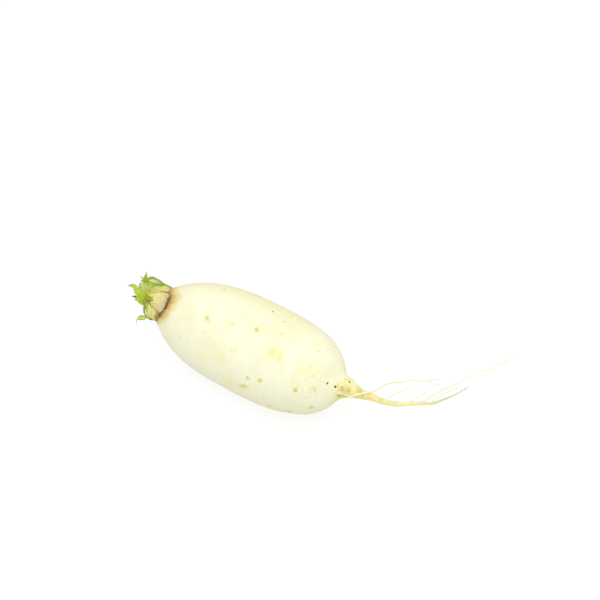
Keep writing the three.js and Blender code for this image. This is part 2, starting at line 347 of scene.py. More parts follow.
# Stains: distance along, degrees round from the bright side, size, strength, and depth of the dent.
stains = [
    (42.8, -8.2, 4, 0.72, 0.25),
    (45.6, -7, 3, 0.56, 0.1),
    (76.5, -23.3, 3.4, 0.78, 0.3),
    (79, -19.5, 2.2, 0.36, 0),
    (114.1, 27.7, 3.2, 0.82, 0.3),
    (122.8, 59.9, 3.2, 0.73, 0.2),
    (91.8, 29.6, 3.8, 0.72, 0.25),
    (84, 33, 2.8, 0.76, 0.2),
    (82.1, 47.8, 3.2, 0.8, 0.3),
    (79.6, 50, 2.8, 0.74, 0.2),
    (84.6, 44.8, 2.6, 0.62, 0),
    (61.2, -15.2, 3.2, 0.5, 0.1),
    (55.1, -16, 2.6, 0.46, 0),
    (91.7, -32, 2.4, 0.56, 0.15),
    (107.7, -12.6, 2.6, 0.46, 0.1),
    (64.6, -29.8, 2.6, 0.36, 0),
    (93.9, -7.7, 6.5, 0.44, 0),
    (98.1, -5.7, 5.4, 0.44, 0.1),
    (99.8, -2, 2.6, 0.56, 0.1),
    (97.6, -10, 2.2, 0.5, 0),
    (115, -3, 6, 0.26, 0),
    (117.3, -10.2, 2.6, 0.44, 0),
    (121.4, 1, 2.6, 0.56, 0),
    (123.4, 18, 1.8, 0.72, 0),
    (124.8, 22, 1.8, 0.74, 0),
    (124, 20, 4.4, 0.5, 0),
    (103, 6, 3, 0.4, 0),
    (62, 24, 7, 0.24, 0),
    (48, 40, 8, 0.22, 0),
    (72, 52, 9, 0.26, 0),
    (110.1, 77.2, 5.5, 0.66, 0.1),
    (99.4, 69, 5, 0.6, 0.1),
    (133.4, -6, 3, 0.5, 0),
    (133.9, 33, 3.4, 0.6, 0),
    (136.4, 14, 8.5, 0.62, 0),
    (134.4, 18, 2.2, 0.8, 0.1),
    (133.6, 4, 4, 0.6, 0),
    (135.4, 8, 2.4, 0.86, 0.1),
    (136, 15, 2.8, 0.88, 0.15),
    (137.2, 8, 2.2, 0.76, 0.1),
    (138.2, 13, 2.8, 0.82, 0.1),
    (139.2, 20, 2.2, 0.68, 0),
    (136, 50, 7.5, 0.64, 0),
    (134, 43, 2.6, 0.84, 0.1),
    (135.4, 51, 2.8, 0.9, 0.2),
    (137, 50, 2.6, 0.88, 0.2),
    (137.4, 60, 2.4, 0.84, 0.1),
    (139.4, 56, 2.4, 0.78, 0),
    (143.5, -14, 5, 0.66, 0),
    (144.2, 30, 3.6, 0.72, 0),
    (146.8, -3, 4, 0.72, 0),
    (152.6, 8, 3.6, 0.4, 0),
    (146, 4, 3.4, 0.6, 0),
    (148.2, 34, 3.4, 0.6, 0),
    (161.7, -14, 2, 0.6, 0.1),
    (60, 120, 3.6, 0.7, 0.25),
    (96, 150, 3, 0.75, 0.25),
    (38, 175, 3.4, 0.6, 0.2),
    (74, -140, 3.6, 0.7, 0.25),
    (106, -110, 3, 0.8, 0.3),
    (50, -118, 2.8, 0.6, 0.2),
    (118, 130, 3, 0.75, 0.25),
    (132, 150, 4, 0.7, 0.1),
    (134, -120, 3.6, 0.66, 0.1),
]
# Small dark pits: distance along, degrees round, width and strength.
pits = [
    (129.4, 3.4, 1.25, 0.98),
    (132.5, 8, 1.35, 1),
    (137.4, -36.9, 1.3, 0.93),
    (76.5, -57, 1.1, 0.92),
    (87.7, -50, 1, 0.8),
    (55.7, -82.2, 1.2, 0.94),
    (39.4, -61.2, 1, 0.86),
    (29.9, 26, 0.9, 0.76),
    (117.4, -38.7, 1.1, 0.64),
    (123.7, -59.8, 1, 0.6),
    (52, -34, 0.7, 0.6),
    (70, 8, 0.7, 0.6),
    (103, 40, 0.8, 0.66),
    (121, 36, 0.8, 0.7),
    (68, 64, 0.8, 0.7),
    (110, -150, 1, 0.9),
    (66, -170, 1, 0.85),
    (90, 110, 1, 0.9),
    (34, -110, 0.9, 0.8),
]


def on_skin(along, degrees):
    """The place on the root's smooth outline at that distance and angle."""
    return root_route.at(along) @ Vector((*root_section(along, math.radians(degrees)), 0))


bm = bmesh.new()
rows = [0, BODY_STEP / 2, *even_rows(BODY_STEP, BODY_END, BODY_STEP)]
rows += even_rows(BODY_END, root_route.length - 0.2, TAPROOT_STEP)[1:]
grain = grow(bm, root_route, rows, ROOT_SIDES, root_section)
top_frame = root_route.at(0).to_3x3()
for vert in bm.verts:
    side, out, along = vert[grain]
    # Lumps about 34, 12 and 4 mm long, the short ones shallow.
    size = min(root_radius.at(along) / BELLY_RADIUS, 1)
    lift = size * (0.5 * ripple(vert.co, 34) + 0.22 * ripple(vert.co, 12) + 0.06 * ripple(vert.co, 4))
    # Faint rings round the body, which turn into wrinkles on the taproot.
    rings = ripple((side * 2.2, out * 2.2, along / 1.5), 1)
    lift += rings * (0.03 + 0.05 * fade(along, 118, 140)) * min(size * 6, 1)
    # Corky ridges run down from the neck and fade out on the shoulder.
    ridges = ripple((side * 9, out * 9, along * 0.12), 1)
    ridges += 0.5 * ripple((side * 20, out * 20, along * 0.2), 1)
    lift += ridges * 0.4 * (1 - fade(along, 1, 8)) * fade(along, 0, 0.6)
    # The rim bulges out on the underside, and rises beside the crown on the other side.
    lift += fade(side, 0.6, 0.95) * (1.3 * hump(along, 1.3, 1.5) + 0.8 * hump(along, 7, 5))
    vert.co += vert.normal * lift
    rim = 1.7 * fade(-side, 0.55, 0.95) * hump(along, 0.9, 1.3)
    vert.co += top_frame @ Vector((0, 0, -rim))

# Each mark belongs to the nearest point of the finished skin. Pits and deep stains leave a dent there.
bm.verts.ensure_lookup_table()
skin_points = kdtree.KDTree(len(bm.verts))
for vert in bm.verts:
    skin_points.insert(vert.co, vert.index)
skin_points.balance()
stain_places = [skin_points.find(on_skin(along, degrees))[0] for along, degrees, *_ in stains]
pit_places = [skin_points.find(on_skin(along, degrees))[0] for along, degrees, *_ in pits]
dents = [(spot, 0.6 * size, deep) for spot, (*_, size, _, deep) in zip(stain_places, stains) if deep]
dents += [(spot, width, 0.35 * strength) for spot, (*_, width, strength) in zip(pit_places, pits)]
for spot, reach, deep in dents:
    for _, index, distance in skin_points.find_range(spot, 2 * reach):
        vert = bm.verts[index]
        vert.co -= vert.normal * deep * hump(distance, 0, reach / 2)
# The skin rests on the table, and doesn't go through it.
for vert in bm.verts:
    vert.co.z = max(vert.co.z, 0)

# Settings that many nodes share: an eased range, and a mix of colours.
SMOOTH = {"interpolation_type": "SMOOTHSTEP"}
COLOUR = {"data_type": "RGBA"}

# White turnip skin, washed after pulling: smooth and slightly waxy, cream with pale yellow clouds, and
# stained brown where side roots and leaf bases have broken away. Painted shade makes the upper back side
# yellower, and painted light makes the underside whiter.
material, tree = bare_material("washed turnip skin")
place = add(tree, "ShaderNodeTexCoord").outputs["Object"]
grown = add(tree, "ShaderNodeAttribute", attribute_name="grain").outputs["Vector"]
parts = add(tree, "ShaderNodeSeparateXYZ", {0: grown})
along = parts.outputs["Z"]
clouds = add(tree, "ShaderNodeTexNoise", {"Vector": place, "Scale": 1 / (26 * MM), "Detail": 3})
skin = add(tree, "ShaderNodeValToRGB", {0: clouds}, [(0.36, "FAFADE"), (0.5, "FAF8DA"), (0.66, "F8F2CC")])
mottle = add(tree, "ShaderNodeTexNoise", {"Vector": place, "Scale": 1 / (5 * MM), "Detail": 4})
mottle = add(tree, "ShaderNodeMapRange", {0: mottle, 1: 0.5, 2: 0.8, 3: 0, 4: 0.5})
skin = add(tree, "ShaderNodeMix", {0: mottle, 6: skin, 7: "F1EBC4"}, **COLOUR)
bands = add(tree, "ShaderNodeMapping", {"Vector": grown, "Scale": (1.6, 1.6, 0.4)})
bands = add(tree, "ShaderNodeTexNoise", {"Vector": bands, "Scale": 1.0, "Detail": 3, "Roughness": 0.6})
bands = add(tree, "ShaderNodeMapRange", {0: bands, 1: 0.54, 2: 0.74, 3: 0, 4: 0.55})
skin = add(tree, "ShaderNodeMix", {0: bands, 6: skin, 7: "F4ECBC"}, **COLOUR)
# Painted shade: the upper back side, the edge turned from the lamp, is yellower and darker, fading out
# towards the tail.
back_edge_painted_shade = add(tree, "ShaderNodeMapRange", {0: parts.outputs["X"], 1: -0.6, 2: -1, 3: 0, 4: 0.7})
inland = add(tree, "ShaderNodeMapRange", {0: along, 1: 120, 2: 96}, **SMOOTH)
back_edge_painted_shade = add(tree, "ShaderNodeMath", {0: back_edge_painted_shade, 1: inland}, operation="MULTIPLY")
skin = add(tree, "ShaderNodeMix", {0: back_edge_painted_shade, 6: skin, 7: "F0E8AE"}, **COLOUR)
# Painted light: the underside is whiter, standing in for light thrown up from the table.
underside_painted_light = add(tree, "ShaderNodeMapRange", {0: parts.outputs["X"], 1: 0.1, 2: 0.9, 3: 0, 4: 0.6})
skin = add(tree, "ShaderNodeMix", {0: underside_painted_light, 6: skin, 7: "FCFDE0"}, **COLOUR)

# Stains have a yellow halo and an olive-brown middle, drawn from the distance to each one's place with its
# edge blurred. Pits are drawn the same way with a sharp edge, almost black.
STAIN_CORE = 0.1
PIT_CORE = 0.4
blur = add(tree, "ShaderNodeTexNoise",
           {"Vector": place, "Scale": 1 / (1.8 * MM), "Detail": 4, "Roughness": 0.6})
blur = add(tree, "ShaderNodeVectorMath", {0: blur.outputs["Color"], 1: (0.5, 0.5, 0.5)},
           operation="SUBTRACT")
blur = add(tree, "ShaderNodeVectorMath", {0: blur, "Scale": 4.4 * MM}, operation="SCALE")
blurred = add(tree, "ShaderNodeVectorMath", {0: place, 1: blur}, operation="ADD")
marks = [(blurred, spot, size, STAIN_CORE, strength)
         for spot, (*_, size, strength, _) in zip(stain_places, stains)]
marks += [(place, spot, width, PIT_CORE, strength)
          for spot, (*_, width, strength) in zip(pit_places, pits)]
depth = None
for source, spot, reach, core, strength in marks:
    gap = add(tree, "ShaderNodeVectorMath", {0: source, 1: spot * MM}, operation="DISTANCE")
    mark = add(tree, "ShaderNodeMapRange",
               {0: gap.outputs["Value"], 1: reach * MM, 2: core * reach * MM, 3: 0, 4: strength}, **SMOOTH)
    depth = add(tree, "ShaderNodeMath", {0: mark, 1: depth}, operation="MAXIMUM") if depth else mark
shades = [(0, "FFFFFF"), (0.3, "FFFCE6"), (0.55, "F5F0CE"), (0.8, "D5CC9E"), (0.9, "9E9568"), (1, "241E12")]
marked = add(tree, "ShaderNodeValToRGB", {0: depth}, shades)
skin = add(tree, "ShaderNodeMix", {0: 1.0, 6: skin, 7: marked}, **COLOUR, blend_type="MULTIPLY")

# Faint grey-green flecks, and pores about 12 mm apart, drawn up to 1 mm wide. Real ones are finer, and
# wouldn't show.
flecks = add(tree, "ShaderNodeTexNoise",
             {"Vector": place, "Scale": 1 / (2.2 * MM), "Detail": 3, "Roughness": 0.6})
flecks = add(tree, "ShaderNodeMapRange", {0: flecks, 1: 0.56, 2: 0.74, 3: 0, 4: 0.4})
skin = add(tree, "ShaderNodeMix", {0: flecks, 6: skin, 7: "E2E0BA"}, **COLOUR)
pores = add(tree, "ShaderNodeTexVoronoi", {"Vector": place, "Scale": 1 / (6 * MM)})
pores = add(tree, "ShaderNodeMapRange", {0: pores.outputs["Distance"], 1: 0.12, 2: 0.04, 3: 0, 4: 0.35})
skin = add(tree, "ShaderNodeMix", {0: pores, 6: skin, 7: "CBCB9A"}, **COLOUR)

# Corky ring at the neck: a dark groove under the widest stalk, whose dark brown is partly cork and partly
# painted shade, strongest on the side facing up and forwards. Then tan that fades outwards in lengthwise
# streaks. It reaches furthest along the side that lies uppermost, and its tan has darker dabs.
RING_WIDTH = 2.8
RING_SPREAD = 13.2
streaks = add(tree, "ShaderNodeMapping", {"Vector": grown, "Scale": (9, 9, 0.14)})
streaks = add(tree, "ShaderNodeTexNoise", {"Vector": streaks, "Scale": 1.0, "Detail": 4, "Roughness": 0.65})
patches = add(tree, "ShaderNodeTexNoise",
              {"Vector": place, "Scale": 1 / (4 * MM), "Detail": 4, "Roughness": 0.6})
width = add(tree, "ShaderNodeMath", {0: parts.outputs["X"], 1: -0.42}, operation="MULTIPLY")
width = add(tree, "ShaderNodeMath", {0: parts.outputs["Y"], 1: 0.94, 2: width}, operation="MULTIPLY_ADD",
            use_clamp=True)
width = add(tree, "ShaderNodeMath", {0: width, 1: 2.0}, operation="POWER")
narrow = add(tree, "ShaderNodeMapRange",
             {0: parts.outputs["X"], 1: -0.42, 2: -0.7, 3: 1, 4: 0.18}, **SMOOTH)
width = add(tree, "ShaderNodeMath", {0: width, 1: narrow}, operation="MULTIPLY")
width = add(tree, "ShaderNodeMath", {0: width, 1: RING_SPREAD, 2: RING_WIDTH}, operation="MULTIPLY_ADD")
ring = add(tree, "ShaderNodeMath", {0: along, 1: width}, operation="DIVIDE")
ring = add(tree, "ShaderNodeMath", {0: streaks, 1: 0.5, 2: ring}, operation="MULTIPLY_ADD")
ring = add(tree, "ShaderNodeMath", {0: patches, 1: 0.8, 2: ring}, operation="MULTIPLY_ADD")
ring = add(tree, "ShaderNodeMapRange", {0: ring, 1: 0.65, 2: 1.85})
cork = add(tree, "ShaderNodeMapRange", {0: ring, 1: 1, 2: 0.72}, **SMOOTH)
tans = [(0.04, "B6904A"), (0.11, "C6A45A"), (0.21, "D4B672"), (0.31, "E6CF8C"), (0.52, "EEDD9E"),
        (0.9, "F6EDBC")]
tone = add(tree, "ShaderNodeValToRGB", {0: ring}, tans)
# Painted shade with the cork: the groove under the overhanging stalk is darkened, most on the front.
groove_cork_and_shade = add(tree, "ShaderNodeMath", {0: streaks, 1: 2.0, 2: along}, operation="MULTIPLY_ADD")
groove_cork_and_shade = add(tree, "ShaderNodeMapRange", {0: groove_cork_and_shade, 1: 4.0, 2: 2.7}, **SMOOTH)
groove_front_share = add(tree, "ShaderNodeMath", {0: parts.outputs["X"], 1: -0.105, 2: parts.outputs["Y"]},
            operation="MULTIPLY_ADD")
groove_front_share = add(tree, "ShaderNodeMapRange", {0: groove_front_share, 1: 0.88, 2: 0.97, 3: 0.12, 4: 0.9})
groove_cork_and_shade = add(tree, "ShaderNodeMath", {0: groove_cork_and_shade, 1: groove_front_share}, operation="MULTIPLY")
dabs = add(tree, "ShaderNodeMapRange", {0: patches, 1: 0.54, 2: 0.64, 3: 0, 4: 0.6}, **SMOOTH)
near = add(tree, "ShaderNodeMapRange", {0: ring, 1: 0.6, 2: 0.2})
dabs = add(tree, "ShaderNodeMath", {0: dabs, 1: near}, operation="MULTIPLY")
tone = add(tree, "ShaderNodeMix", {0: dabs, 6: tone, 7: "A47C38"}, **COLOUR)
tone = add(tree, "ShaderNodeMix", {0: groove_cork_and_shade, 6: tone, 7: "7A5A1C"}, **COLOUR)
skin = add(tree, "ShaderNodeMix", {0: cork, 6: skin, 7: tone}, **COLOUR)

# Taproot: the cream deepens to straw yellow in lengthwise streaks, soiled tan at its foot and greyish at
# its tip.
straw = add(tree, "ShaderNodeMath", {0: streaks, 1: 14.0, 2: along}, operation="MULTIPLY_ADD")
straw = add(tree, "ShaderNodeMapRange", {0: straw, 1: 132, 2: 150}, **SMOOTH)
yellow = add(tree, "ShaderNodeValToRGB", {0: streaks},
             [(0.3, "F3E6B8"), (0.46, "FEF8D4"), (0.62, "FFFEE8")])
skin = add(tree, "ShaderNodeMix", {0: straw, 6: skin, 7: yellow}, **COLOUR, blend_type="MULTIPLY")
soil = add(tree, "ShaderNodeTexNoise",
           {"Vector": place, "Scale": 1 / (5 * MM), "Detail": 5, "Roughness": 0.6})
soiled = add(tree, "ShaderNodeMapRange", {0: soil, 1: 0.48, 2: 0.72, 3: 0, 4: 0.55})
foot = add(tree, "ShaderNodeMapRange", {0: along, 1: 130, 2: 138}, **SMOOTH)
shin = add(tree, "ShaderNodeMapRange", {0: along, 1: 162, 2: 144, 3: 0.2, 4: 1.0}, **SMOOTH)
soiled = add(tree, "ShaderNodeMath", {0: soiled, 1: foot}, operation="MULTIPLY")
soiled = add(tree, "ShaderNodeMath", {0: soiled, 1: shin}, operation="MULTIPLY")
skin = add(tree, "ShaderNodeMix", {0: soiled, 6: skin, 7: "CDAE6C"}, **COLOUR)
tip = add(tree, "ShaderNodeMapRange", {0: along, 1: 182, 2: 212, 3: 0, 4: 0.75}, **SMOOTH)
skin = add(tree, "ShaderNodeMix", {0: tip, 6: skin, 7: "CFCCA6"}, **COLOUR)

# The cork and the mottles are duller than the waxy skin, and the cork is fibrous.
rough = add(tree, "ShaderNodeMapRange", {0: mottle, 1: 0, 2: 0.5, 3: 0.4, 4: 0.5})
rough = add(tree, "ShaderNodeMath", {0: cork, 1: 0.35, 2: rough}, operation="MULTIPLY_ADD")
fine = add(tree, "ShaderNodeTexNoise", {"Vector": place, "Scale": 1 / (1.3 * MM), "Detail": 3})
relief = add(tree, "ShaderNodeBump", {"Height": fine, "Strength": 0.35, "Distance": 0.12 * MM})
fibres = add(tree, "ShaderNodeMath", {0: streaks, 1: cork}, operation="MULTIPLY")
relief = add(tree, "ShaderNodeBump",
             {"Height": fibres, "Normal": relief, "Strength": 0.7, "Distance": 0.6 * MM})
shader = add(tree, "ShaderNodeBsdfPrincipled", {
    "Base Color": skin,
    "Roughness": rough,
    "IOR": 1.4,
    "Subsurface Weight": 0.2,
    "Subsurface Radius": (1.0, 0.8, 0.5),
    "Subsurface Scale": 3 * MM,
    "Normal": relief,
})
add(tree, "ShaderNodeOutputMaterial", {0: shader})

piece = make_piece("root_and_taproot", bm, material)
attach(piece, "root")
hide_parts("swollen_root")

# ---- Crown stem
# The short stem that all the leaves grow from: a low dome of firm flesh in the middle of the root's top
# face, ringed with the scars of old leaf bases. Heights are from that face, along the neck's leaning axis.
crown_frame = root_route.at(0)


def crown_point(height, under, bright):
    """The place at that height over the top face, moved towards the underside and the bright side."""
    return crown_frame @ Vector((under, bright, -height))


STEM_FOOT = 0.35
STEM_HEIGHT = 9.9
STEM_SIDES = 96
STEM_STEP = 0.15
SCAR_SPACING = 1.9
stem_outline = Outline([(0, 8), (3.7, 7.7), (6.7, 6.9), (8.7, 5), (9.7, 2.6), (STEM_HEIGHT, 0.4)])
stem_ends = [crown_point(STEM_FOOT, 0, 0), crown_point(STEM_FOOT + STEM_HEIGHT, 0, 0)]
stem_route = Route(stem_ends, bright_side)


def stem_section(along, turn):
    radius = stem_outline.at(along)
    radius += 0.25 * math.cos(along * math.tau / SCAR_SPACING) * fade(radius, 0.5, 3)
    radius += 0.3 * ripple((math.sin(turn) * 3, math.cos(turn) * 3, along / 2), 1)
    return radius * math.sin(turn), radius * math.cos(turn)


bm = bmesh.new()
grow(bm, stem_route, even_rows(0, STEM_HEIGHT, STEM_STEP), STEM_SIDES, stem_section)


def crown_tissue(name, shades, stained, stain_from, soiled_to):
    """Firm crown flesh in shades from its foot up, stained from some height, and soiled below another."""
    material, tree = bare_material(name)
    place = add(tree, "ShaderNodeTexCoord").outputs["Object"]
    grown = add(tree, "ShaderNodeAttribute", attribute_name="grain").outputs["Vector"]
    parts = add(tree, "ShaderNodeSeparateXYZ", {0: grown})
    height = parts.outputs["Z"]
    blotch = add(tree, "ShaderNodeTexNoise",
                 {"Vector": place, "Scale": 1 / (3.2 * MM), "Detail": 5, "Roughness": 0.6})
    rise = add(tree, "ShaderNodeMath", {0: blotch, 1: 5.0, 2: height}, operation="MULTIPLY_ADD")
    shade = add(tree, "ShaderNodeMapRange", {0: rise, 1: 2, 2: 14})
    flesh = add(tree, "ShaderNodeValToRGB", {0: shade}, [(i / 3, code) for i, code in enumerate(shades)])
    # Dull lengthwise lines, and olive specks.
    lines = add(tree, "ShaderNodeMapping", {"Vector": grown, "Scale": (7, 7, 0.25)})
    lines = add(tree, "ShaderNodeTexNoise", {"Vector": lines, "Scale": 1.0, "Detail": 4, "Roughness": 0.6})
    dull = add(tree, "ShaderNodeMapRange", {0: lines, 1: 0.45, 2: 0.72, 3: 0, 4: 0.45})
    flesh = add(tree, "ShaderNodeMix", {0: dull, 6: flesh, 7: "C6B77C"}, **COLOUR)
    specks = add(tree, "ShaderNodeTexNoise",
                 {"Vector": place, "Scale": 1 / (1.7 * MM), "Detail": 3, "Roughness": 0.6})
    specks = add(tree, "ShaderNodeMapRange", {0: specks, 1: 0.52, 2: 0.7, 3: 0, 4: 0.75})
    flesh = add(tree, "ShaderNodeMix", {0: specks, 6: flesh, 7: "B3A54A"}, **COLOUR)
    # The stain near the top leaves one side edge clear.
    clear = add(tree, "ShaderNodeMapRange", {0: parts.outputs["X"], 1: -1.2, 2: -0.7, 3: -5, 4: 0})
    stain = add(tree, "ShaderNodeMath", {0: rise, 1: clear}, operation="ADD")
    stain = add(tree, "ShaderNodeMapRange",
                {0: stain, 1: stain_from, 2: stain_from + 3, 3: 0, 4: 0.85}, **SMOOTH)
    flesh = add(tree, "ShaderNodeMix", {0: stain, 6: flesh, 7: stained}, **COLOUR)
    soil = add(tree, "ShaderNodeMapRange",
               {0: rise, 1: soiled_to + 1.4, 2: soiled_to, 3: 0, 4: 0.85}, **SMOOTH)
    flesh = add(tree, "ShaderNodeMix", {0: soil, 6: flesh, 7: "A5854A"}, **COLOUR)
    # Broken dark seams where two stubs meet: painted shade of the crevice between them.
    seam_shade = add(tree, "ShaderNodeMath", {0: parts.outputs["X"]}, operation="ABSOLUTE")
    seam_shade = add(tree, "ShaderNodeMapRange", {0: seam_shade, 1: 1.6, 2: 1.86, 3: 0, 4: 0.6}, **SMOOTH)
    patchy = add(tree, "ShaderNodeMapRange", {0: blotch, 1: 0.44, 2: 0.6, 3: 0.25, 4: 1})
    seam_shade = add(tree, "ShaderNodeMath", {0: seam_shade, 1: patchy}, operation="MULTIPLY")
    flesh = add(tree, "ShaderNodeMix", {0: seam_shade, 6: flesh, 7: "8E8436"}, **COLOUR)
    # A cut face has dried, with an olive line inside it and a pale rim, which is partly dried flesh and
    # partly a painted highlight along the cut edge.
    cut = add(tree, "ShaderNodeAttribute", attribute_name="cut").outputs["Fac"]
    dried = add(tree, "ShaderNodeMapRange", {0: cut, 1: 0.08, 2: 0.3, 3: 0, 4: 0.85}, **SMOOTH)
    faces = add(tree, "ShaderNodeValToRGB", {0: cut},
                [(0.3, "D8DC8A"), (0.48, "A9A848"), (0.7, "C8C468"), (1, "DAD680")])
    flesh = add(tree, "ShaderNodeMix", {0: dried, 6: flesh, 7: faces}, **COLOUR)
    relief = add(tree, "ShaderNodeBump", {"Height": lines, "Strength": 0.6, "Distance": 0.5 * MM})
    relief = add(tree, "ShaderNodeBump",
                 {"Height": specks, "Normal": relief, "Strength": 0.7, "Distance": 0.4 * MM})
    relief = add(tree, "ShaderNodeBump",
                 {"Height": blotch, "Normal": relief, "Strength": 0.8, "Distance": 0.8 * MM})
    shader = add(tree, "ShaderNodeBsdfPrincipled", {
        "Base Color": flesh,
        "Roughness": 0.55,
        "IOR": 1.4,
        "Subsurface Weight": 0.15,
        "Subsurface Radius": (1.0, 0.9, 0.4),
        "Subsurface Scale": 1.5 * MM,
        "Normal": relief,
    })
    add(tree, "ShaderNodeOutputMaterial", {0: shader})
    return material


# Crown stem flesh, scarred where leaf bases fell: brown at its foot, and olive at its tip.
stem_shades = ("B08A48", "D8CE8C", "CCCB5C", "9C9C20")
stem_tissue = crown_tissue("scarred crown stem", stem_shades, "7A7A12", 9, 1.2)
piece = make_piece("crown_heart", bm, stem_tissue)
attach(piece, "root")
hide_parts("crown_stem")

# ---- Cut stalks
# Fleshy crescent stubs of the outer leaves, packed side by side round the stem and sliced off with a knife.
# Each is ribbed lengthwise, cream at its foot and yellow-green above, with a dished cut face that shows its
# vessels.
STUB_CUTS = 33
VESSELS = 5
VESSEL_SPREAD = 1.5
# Degrees from the bright side towards the underside, where the stub starts and ends, first at its foot and
# then at its cut. The height of the cut, how far it falls towards the end, and how far it falls outwards.
# The outer radius at the foot and at the cut. The height of the outer lower edge at start, middle and end.
stubs = [
    ((-57, 43), (-13, 26), (12.1, 2.2, 0.7), (11.2, 10.4), (0.9, -1.7, 0.4)),
    ((38, 106), (19, 102), (10.2, 1.1, 2.7), (12.2, 12.6), (-0.2, -0.8, -1.4)),
    ((108, 176), (106, 172), (9.2, -0.7, 0.8), (11, 10.8), (0.8, -0.4, 0.5)),
    ((178, 246), (176, 240), (8, 0.6, 0.8), (10.8, 10.4), (0.5, -0.4, 0.8)),
    ((248, 303), (246, 345), (12.1, -0.4, 2), (11.4, 10.4), (1, 1.1, 0.6)),
]
# Leaf stalk flesh, sliced: moist and pale, and stained olive where the broad leaf clasps the first stub.
stub_shades = [
    ("DACDA2", "E8DEA2", "F4EC92", "E0E662"),
    ("D2BC82", "ECE8A4", "EAEA8A", "CEDA5A"),
    ("DCCB94", "F0E6AC", "D9D87E", "C2C65A"),
]
stub_tissues = [
    crown_tissue("cut stalk by the broad leaf", stub_shades[0], "908C18", 10, 1.2),
    crown_tissue("low cut stalk", stub_shades[1], "A0AC36", 12.4, 3.8),
    crown_tissue("cut stalk behind", stub_shades[2], "A3A23A", 12.5, 1.6),
]


def round_corners(x, y, power):
    """Moves a point of a square towards a circle; a higher power keeps it squarer."""
    largest = max(abs(x), abs(y))
    if largest == 0:
        return x, y
    share = largest / (abs(x) ** power + abs(y) ** power) ** (1 / power)
    return x * share, y * share


def between(pair, share):
    """The value that far from the pair's first to its second."""
    return pair[0] + (pair[1] - pair[0]) * share


for number, (foot, cut, (top, fall, slant), radii, (first, mid, last)) in enumerate(stubs, 1):
    bm = bmesh.new()
    grain = bm.verts.layers.float_vector.new("grain")
    cut_layer = bm.verts.layers.float.new("cut")
    bmesh.ops.create_cube(bm, size=2)
    bmesh.ops.subdivide_edges(bm, edges=bm.edges, cuts=STUB_CUTS, use_grid_fill=True)
    for vert in bm.verts:
        across, outward = round_corners(vert.co.x, vert.co.y, 4)
        rim = max(abs(vert.co.x), abs(vert.co.y))
        rise = (vert.co.z + 1) / 2
        edge = mid + (last - first) / 2 * across + ((first + last) / 2 - mid) * across ** 2
        lowest = between((0.3, edge), fade(outward, -0.6, 1))
        highest = top - fall * across - slant * outward
        height = between((lowest, highest), rise)
        # The knife leaves a crisp rim, and the softer middle of the cut face sinks as it dries.
        cut_face = fade(rise, 0.93, 1)
        height -= cut_face * (1.1 * (1 - fade(rim, 0.1, 0.9)) + 0.3 * fade(rim, 0.94, 1))
        height += cut_face * 0.4 * ripple((across * 3, outward * 3, number), 1)
        for vessel in range(VESSELS):
            spot = (vessel + 0.5) / VESSELS * VESSEL_SPREAD - VESSEL_SPREAD / 2
            height += cut_face * 0.5 * math.exp(-43 * (across - spot) ** 2 - 8 * outward ** 2)
        # The inner wall follows the stem. The outer one bulges, swells over the root's rim where it hangs
        # low, is tucked in at its foot, and has ribs and lumps.
        inner = 8.2 - 1.4 * fade(rise, 0.45, 1)
        face = between(radii, rise) - 0.7 * across ** 2 + 0.5 * math.sin(math.pi * min(rise * 1.4, 1))
        face += max(0.3 - edge, 0) * 1.1 * (1 - fade(rise, 0.02, 0.35))
        face -= 0.7 * (1 - fade(rise, 0, 0.07))
        ribs = ripple((across * 7, rise * 0.7, number * 7), 1)
        ribs += 0.5 * ripple((across * 15, rise, number * 5), 1)
        lumps = ripple((across * 2.5, rise * 3, number * 3), 1)
        lumps += 0.4 * ripple((across * 6, rise * 7, number), 1)
        face += fade(outward, 0, 1) * (0.22 * ribs + 0.7 * lumps)
        distance = between((inner, face), (outward + 1) / 2)
        start = between((foot[0], cut[0]), rise)
        end = between((foot[1], cut[1]), rise)
        degrees = between((start, end), (across + 1) / 2) + 1.5 * ripple((rise * 4, number, 0), 1)
        turned = math.radians(degrees)
        vert[grain] = (across * 2, outward, height)
        vert[cut_layer] = cut_face * (1 - 0.75 * fade(rim, 0.5, 0.95))
        vert.co = crown_point(height, distance * math.sin(turned), distance * math.cos(turned))
    piece = make_piece(f"stalk_stub_{number}", bm, stub_tissues[min(number, 3) - 1])
    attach(piece, "root")
    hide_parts(f"cut_stalk_{number}")

# ---- Heart leaves
# The youngest leaves, left on when the turnip was trimmed: thin ribbed stalks that widen into small blades
# with cut, ruffled edges. They are soft and thin, bright yellow-green in front and darker behind.
LEAF_SIDES = 28
LEAF_STEP = 0.22
TOOTH_SPACING = 1.3
towards_top = Vector((0.2, -0.5, 0.8)).normalized()


